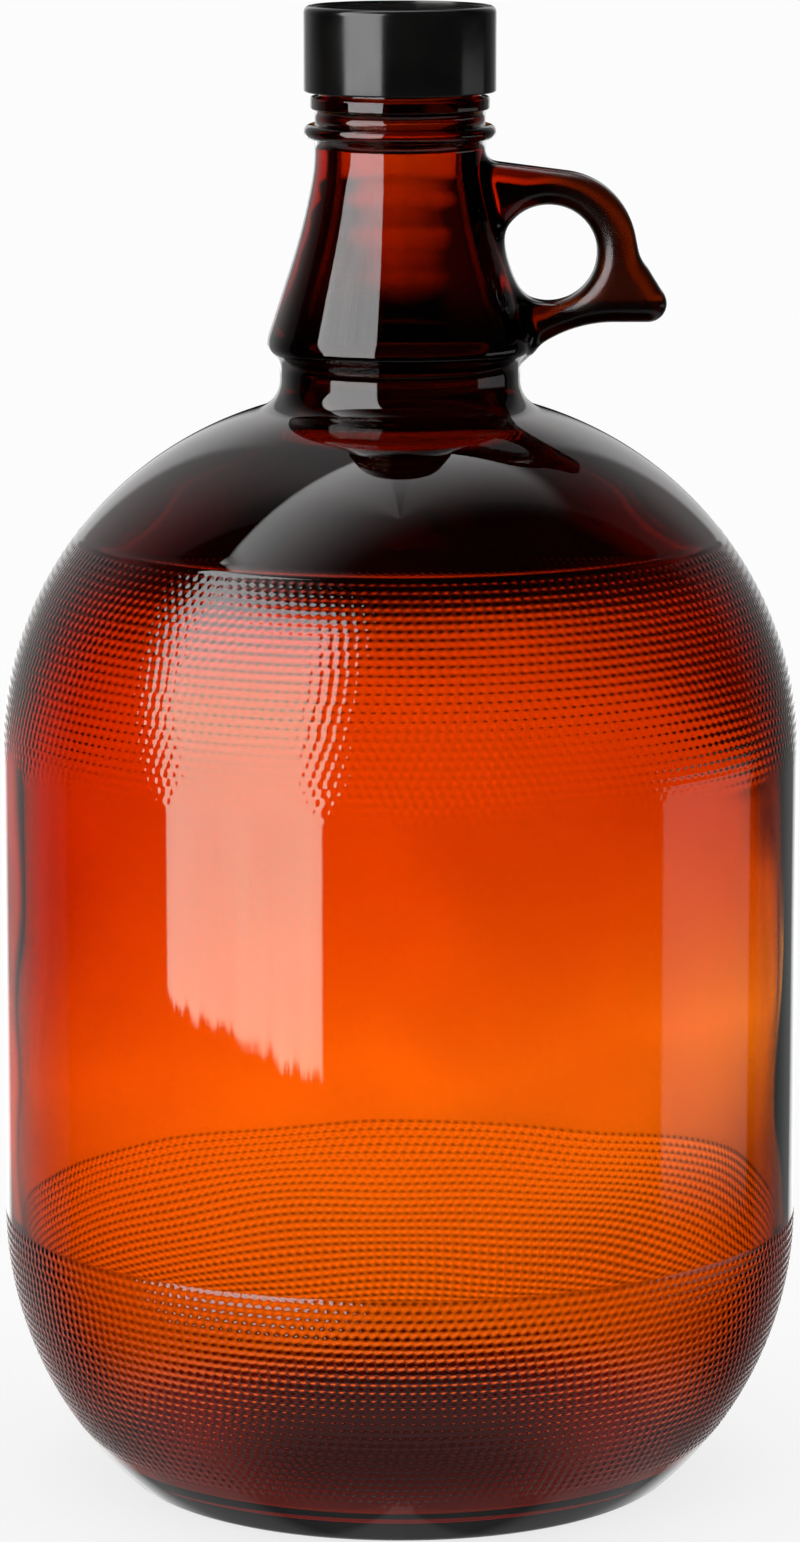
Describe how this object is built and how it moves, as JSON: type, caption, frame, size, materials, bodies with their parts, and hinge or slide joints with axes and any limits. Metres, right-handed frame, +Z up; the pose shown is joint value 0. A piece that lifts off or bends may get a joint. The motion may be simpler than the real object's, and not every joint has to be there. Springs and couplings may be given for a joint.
{
  "type": "growler",
  "caption": "Five-litre amber glass jug with stippled shoulder and heel, a conical collar with a finger ring, and a black screw cap with a sealing disc.",
  "frame": {"origin": "centre of the base, on the plane that the jug stands on", "axes": "+Z up along the axis of the jug, +X towards the finger ring"},
  "size_m": [0.184, 0.184, 0.3424],
  "materials": {
    "amber_glass": "clear amber container glass, fire-polished, stippled on the shoulder and heel",
    "black_plastic": "smooth black moulded plastic, satin gloss",
    "liner_foam": "off-white expanded polyethylene disc"
  },
  "bodies": {
    "jug": {"glass_jug": "amber_glass"},
    "disc": {"cap_liner": "liner_foam"},
    "cap": {"screw_cap": "black_plastic"}
  },
  "joints": [
    {"name": "cap_lift", "type": "slide", "parent": "jug", "child": "disc", "axis": [0, 0, 1], "range_m": [0, 0.008]},
    {"name": "cap_turn", "type": "hinge", "parent": "disc", "child": "cap", "pos_m": [0, 0, 0.333], "axis": [0, 0, 1], "range_deg": [0, 720]}
  ],
  "couplings": [
    {"joint": "cap_lift", "follows": "cap_turn", "m_per_rad": 0.00063662}
  ]
}
